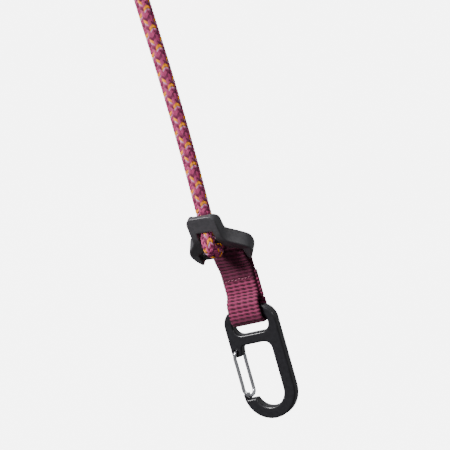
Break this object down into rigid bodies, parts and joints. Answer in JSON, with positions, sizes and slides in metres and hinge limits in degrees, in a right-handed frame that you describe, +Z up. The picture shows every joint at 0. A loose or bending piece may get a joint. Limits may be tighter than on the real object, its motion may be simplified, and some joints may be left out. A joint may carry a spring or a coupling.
{
  "type": "cord lock with strap end",
  "caption": "Moulded cord lock on a braided cord, with a sewn webbing tab and a wire-gate clip hanging from its lower bar.",
  "frame": {"origin": "inside top of the cord's eye, where a hook or a finger carries the part", "axes": "+Z up along the hanging cord, -Y the front face of the lock and the clip, +X to the right seen from the front"},
  "size_m": [0.021, 0.0284, 0.1713],
  "materials": {
    "moulded_plastic": "satin, lightly textured",
    "clip_enamel": "satin black enamel on cast metal",
    "steel_wire": "bright drawn wire",
    "cord_braid": "braided sheath, burgundy with lilac and orange flecks",
    "whipping_thread": "waxed thread",
    "webbing": "ribbed narrow webbing",
    "stitch_thread": "bonded sewing thread"
  },
  "bodies": {
    "cord": {"cord_eye": "cord_braid", "eye_whipping": "whipping_thread", "cord_standing": "cord_braid"},
    "lock": {"lock_frame": "moulded_plastic", "cord_bight": "cord_braid", "tail_knot": "cord_braid"},
    "tab": {"webbing_tab": "webbing", "stitch_row_upper": "stitch_thread", "stitch_row_lower": "stitch_thread"},
    "clip": {"clip_frame": "clip_enamel"},
    "gate": {"gate_wire": "steel_wire"}
  },
  "joints": [
    {"name": "lock_slide", "type": "slide", "parent": "cord", "child": "lock", "axis": [0, 0, 1], "range_m": [0, 0.015], "deforming": ["cord_standing"]},
    {"name": "tab_swing", "type": "hinge", "parent": "lock", "child": "tab", "pos_m": [-0.00224, 0.0085, -0.11428], "axis": [0.9976, 0, -0.0698], "range_deg": [-60, 5]},
    {"name": "clip_swing", "type": "hinge", "parent": "tab", "child": "clip", "pos_m": [-0.0006, 0.009, -0.1332], "axis": [1, 0, 0], "range_deg": [-40, 40]},
    {"name": "gate_open", "type": "hinge", "parent": "clip", "child": "gate", "pos_m": [-0.0076, 0.009, -0.1443], "axis": [0, -1, 0], "range_deg": [0, 25], "stiffness_Nm_per_rad": 0.05, "springref_deg": -20.05}
  ]
}
